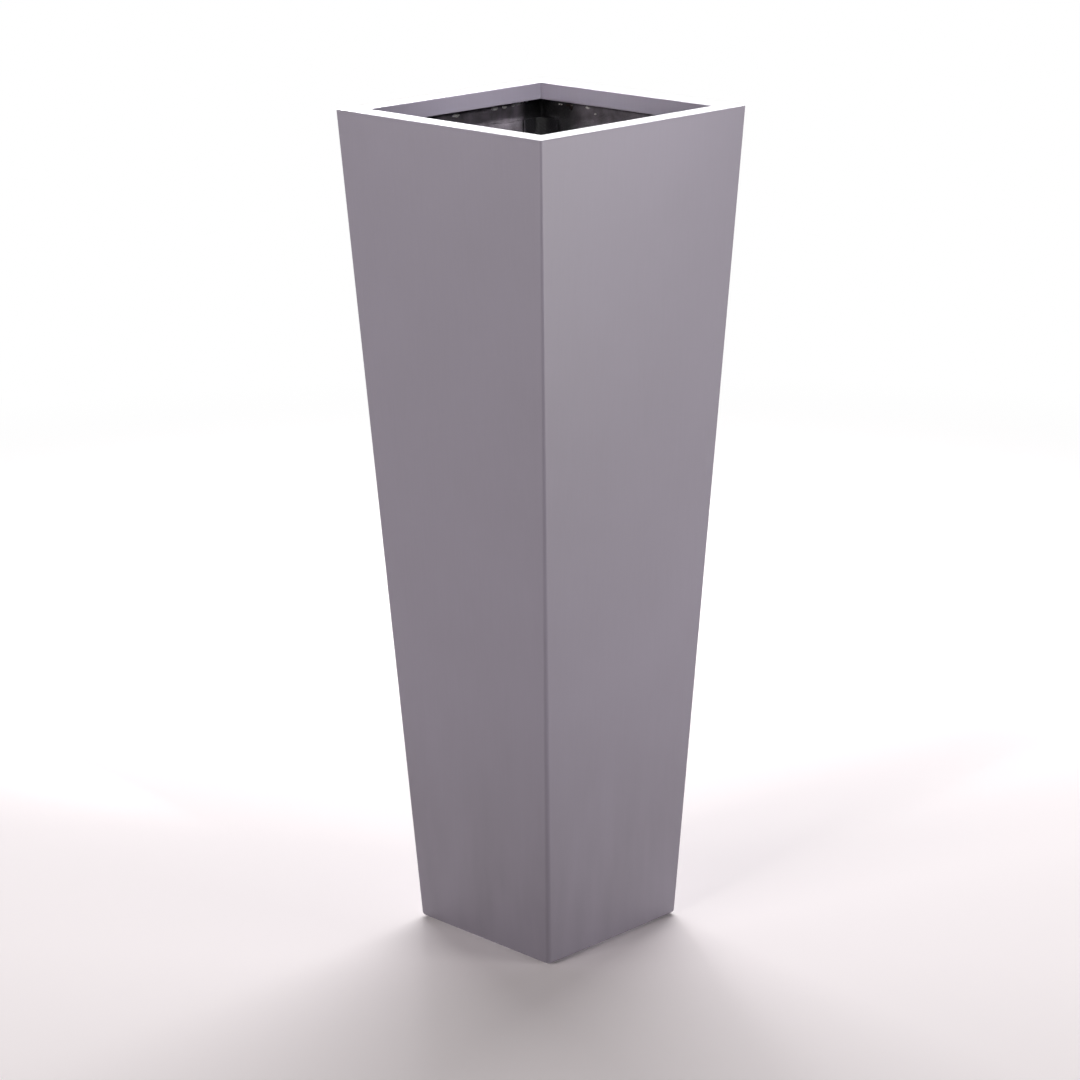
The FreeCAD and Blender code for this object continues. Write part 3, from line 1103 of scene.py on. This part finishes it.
def moulded_rubber():
    """Dull black rubber with a fine grain and a little dust."""
    material, tree = new_material("moulded_black_rubber")
    place = add(tree, "TexCoord").outputs["Object"]
    clouds = add(tree, "TexNoise", {"Vector": place, "Scale": 1 / dust_width, "Detail": 4.0})
    specks = add(tree, "TexNoise", {"Vector": place, "Scale": 1 / rubber_grain, "Detail": 2.0})
    both = add(tree, "Math", {0: clouds, 1: specks}, operation="MULTIPLY")
    dust = add(tree, "MapRange", {"Value": both, "From Min": 0.18, "From Max": 0.42})
    colour = add(
        tree, "Mix", {"Factor": dust, "A": linear("#1d1c1d"), "B": linear("#383537")}, data_type="RGBA"
    )
    gloss = add(tree, "MapRange", {"Value": dust, "To Min": 0.58, "To Max": 0.80})
    grain = add(tree, "Bump", {"Height": specks, "Distance": grain_relief})
    surface = add(
        tree, "BsdfPrincipled", {"Base Color": colour, "Roughness": gloss, "IOR": 1.52, "Normal": grain}
    )
    add(tree, "OutputMaterial", {"Surface": surface})
    return material


rubber = moulded_rubber()
print("rubber grain", rubber_grain / mm, "mm")

# %% [markdown]
# ## Drain plug
#
# The plug is a turned form, so it starts as a disc on its axis. The disc is extruded along the plug and
# made wider or narrower at each step of its outline: up from the dish in the head, round the head, along
# the grooved shank, over the tip and down into the hollow core. A small bevel then takes off every sharp
# edge, as the mould does.

# %% Drain plug
round_steps = 72
plug_round, round_from = 0.25 * mm, math.radians(30)


def turned_form(name, outline, middle=(0, 0)):
    """A closed form turned round an upright axis, from an outline of (radius, height) points."""
    piece = begin(name)
    radius, z = outline[0]
    place = (*middle, z)
    bpy.ops.mesh.primitive_circle_add(vertices=round_steps, radius=radius, fill_type="NGON", location=place)
    for next_radius, next_z in outline[1:]:
        bpy.ops.mesh.extrude_region_move(TRANSFORM_OT_translate={"value": (0, 0, next_z - z)})
        wider = next_radius / radius
        bpy.ops.transform.resize(value=(wider, wider, 1), center_override=(*middle, next_z))
        radius, z = next_radius, next_z
    return piece


plug_low, plug_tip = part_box("drain_plug")
plug_low, plug_tip = plug_low.z, plug_tip.z
head_radius, dish_radius = 18 * mm, 11 * mm
head_chamfer, dish_depth = 0.9 * mm, 0.8 * mm
shank_radius = hole_radius - 0.08 * mm
groove_depth, groove_width = 0.9 * mm, 1.8 * mm
tip_length, tip_taper = 3 * mm, 1.6 * mm
core_radius, core_floor = 7 * mm, 5 * mm
shank_end = plug_tip - tip_length
groove_pitch = (shank_end - panel_low.z) / 3

grooves = []
for number in (1, 2):
    middle = panel_low.z + number * groove_pitch
    low, high = middle - groove_width / 2, middle + groove_width / 2
    bottom = shank_radius - groove_depth
    grooves += [(shank_radius, low), (bottom, low), (bottom, high), (shank_radius, high)]

plug = turned_form(
    "rubber_plug",
    [
        (dish_radius - dish_depth, plug_low + dish_depth),
        (dish_radius, plug_low),
        (head_radius - head_chamfer, plug_low),
        (head_radius, plug_low + head_chamfer),
        (head_radius, panel_low.z),
        (shank_radius, panel_low.z),
        *grooves,
        (shank_radius, shank_end),
        (shank_radius - tip_taper, plug_tip),
        (core_radius, plug_tip),
        (core_radius, plug_low + core_floor),
    ],
)
close_up(plug)
apply_modifier(plug, "BEVEL", width=plug_round, segments=2, limit_method="ANGLE", angle_limit=round_from)
settle(plug, "plug", rubber, ["drain_plug"])

# %% [markdown]
# ## Foot pads
#
# Four small rubber pads keep the painted foot off the floor, and leave the thin dark line that shows under
# the planter. A pad is turned like the plug, half way between the foot's opening and its rounded edge. Its
# sole is slightly dished, so that it rests on its rim.

# %% Foot pads
pad_radius = 10 * mm
pad_round = 0.15 * mm
pad_place = (foot_opening_half + foot_half - foot_round) / 2
sole_edge = 0.6 * mm
sole_dish = 0.3 * mm

pad = turned_form(
    "rubber_pad",
    [
        (0.5 * pad_radius, sole_dish),
        (pad_radius - 3 * sole_edge, 0),
        (pad_radius - sole_edge, 0),
        (pad_radius, sole_edge),
        (pad_radius, foot_z),
    ],
    middle=(pad_place, pad_place),
)
close_up(pad)
apply_modifier(pad, "BEVEL", width=pad_round, segments=2, limit_method="ANGLE", angle_limit=round_from)
for corner, pad in zip(corners, copies_round(pad, [f"rubber_pad_{corner}" for corner in corners])):
    settle(pad, "planter", rubber, [f"foot_pad_{corner}"])

# %% [markdown]
# ## Battens
#
# The rim is stiffened by pine battens, which the strips close in. Their shape in the frame is right, so
# they keep it and only get their timber. Pine's growth rings show as bands along the batten, and its fibres
# as fine lines. Both are drawn by stretching a pattern along the batten, so the battens of the front and
# back need another direction than those of the sides.

# %% Pine
ring_spacing = 4 * mm
fibre_width = 0.7 * mm
fibre_length = 40 * mm
fibre_relief = 0.1 * mm
wave_length = 0.3  # how far apart the wave pattern's bands are at a scale of 1


def sawn_pine(name, along):
    """Planed pine with its grain along an axis, 0 for X and 1 for Y."""
    material, tree = new_material(name)
    place = add(tree, "TexCoord").outputs["Object"]
    drawn_out = [1.0, 1.0, 1.0]
    drawn_out[along] = fibre_width / fibre_length
    laid = add(tree, "Mapping", {"Vector": place, "Scale": drawn_out})
    fibres = add(tree, "TexNoise", {"Vector": laid, "Scale": 1 / fibre_width, "Detail": 3.0})
    bands = add(
        tree,
        "TexWave",
        {"Vector": laid, "Scale": wave_length / ring_spacing, "Distortion": 3.0, "Detail": 2.0},
        bands_direction="Z",
    )
    grain = add(tree, "Mix", {"Factor": 0.35, "A": bands, "B": fibres}, data_type="FLOAT")
    colour = add(
        tree, "Mix", {"Factor": grain, "A": linear("#c9a775"), "B": linear("#9c7547")}, data_type="RGBA"
    )
    gloss = add(tree, "MapRange", {"Value": grain, "To Min": 0.6, "To Max": 0.75})
    raised = add(tree, "Bump", {"Height": fibres, "Distance": fibre_relief})
    surface = add(
        tree, "BsdfPrincipled", {"Base Color": colour, "Roughness": gloss, "IOR": 1.5, "Normal": raised}
    )
    add(tree, "OutputMaterial", {"Surface": surface})
    return material


pine_along_y = sawn_pine("sawn_pine_along_y", 1)
pine_along_x = sawn_pine("sawn_pine_along_x", 0)
for side in sides:
    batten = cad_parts[f"rim_batten_{side}"]
    batten.data.materials.clear()
    batten.data.materials.append(pine_along_y if side in ("left", "right") else pine_along_x)
print("pine: a growth ring every", ring_spacing / mm, "mm")
